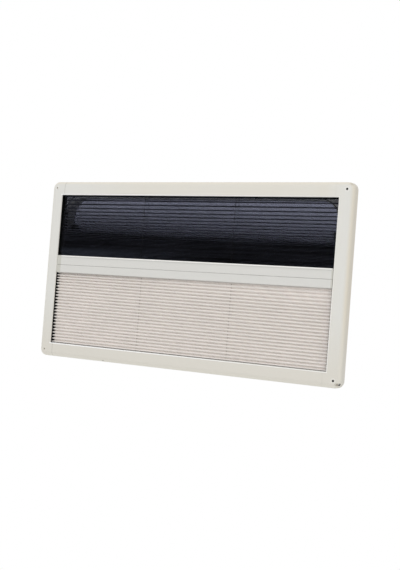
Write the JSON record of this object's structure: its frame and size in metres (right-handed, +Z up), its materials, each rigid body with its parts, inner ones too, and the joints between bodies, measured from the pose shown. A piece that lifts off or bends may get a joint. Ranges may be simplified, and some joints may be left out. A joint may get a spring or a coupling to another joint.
{
  "type": "caravan window",
  "caption": "Side window for a caravan wall: inner frame with pleated flyscreen above and pleated blind below, sliding bars, and an acrylic double pane outside.",
  "frame": {"origin": "on the wall side of the inner frame, in the middle of the bottom rail's back", "axes": "+X along the window, to the right seen from the room; +Y from the room to the outside; +Z up"},
  "size_m": [0.986, 0.0825, 0.533],
  "materials": {
    "cream_moulding": "satin cream ABS moulding",
    "black_channel": "matt black",
    "flyscreen_mesh": "pleated dark grey insect mesh",
    "blind_cloth": "pleated warm beige cloth",
    "cord": "dark braided cord",
    "bar": "satin cream paint",
    "bar_cap": "satin cream plastic, a little darker than the bars",
    "black_frame": "fine-grained black",
    "grey_moulding": "fine-grained light grey",
    "seal": "matt black",
    "tinted_acrylic": "grey tinted clear acrylic",
    "pane_rim": "bonded black edge",
    "hinge_alloy": "mill aluminium",
    "black_fitting": "satin black"
  },
  "bodies": {
    "window": {"left_stile": "cream_moulding", "right_stile": "cream_moulding", "top_rail": "cream_moulding", "bottom_rail": "cream_moulding", "left_guide": "black_channel", "right_guide": "black_channel", "head_channel": "black_channel", "sill_channel": "black_channel", "clamp_ring": "grey_moulding", "screen_clip": "black_channel", "blind_clip": "black_channel", "flyscreen": "flyscreen_mesh", "blind": "blind_cloth", "left_screen_cords": "cord", "right_screen_cords": "cord", "left_blind_cord": "cord", "right_blind_cord": "cord", "wall_liner": "grey_moulding", "outer_flange": "black_frame", "pane_seal": "seal", "inner_pane": "tinted_acrylic", "pane_rim": "pane_rim", "outer_pane": "tinted_acrylic", "fixed_hinge_rail": "hinge_alloy", "pane_hinge_rail": "hinge_alloy", "left_latch": "black_fitting", "middle_latch": "black_fitting", "right_latch": "black_fitting", "left_stay": "black_fitting", "right_stay": "black_fitting"},
    "flyscreen_pull": {"screen_bar": "bar", "screen_bar_left_cap": "bar_cap", "screen_bar_right_cap": "bar_cap"},
    "blind_pull": {"blind_bar": "bar", "blind_bar_left_cap": "bar_cap", "blind_bar_right_cap": "bar_cap"}
  },
  "joints": [
    {"name": "flyscreen_slide", "type": "slide", "parent": "window", "child": "flyscreen_pull", "axis": [0, 0, 1], "range_m": [0, 0.17925], "deforming": ["flyscreen", "left_screen_cords", "right_screen_cords"]},
    {"name": "blind_slide", "type": "slide", "parent": "window", "child": "blind_pull", "axis": [0, 0, -1], "range_m": [0, 0.20975], "deforming": ["blind", "left_blind_cord", "right_blind_cord"]}
  ]
}
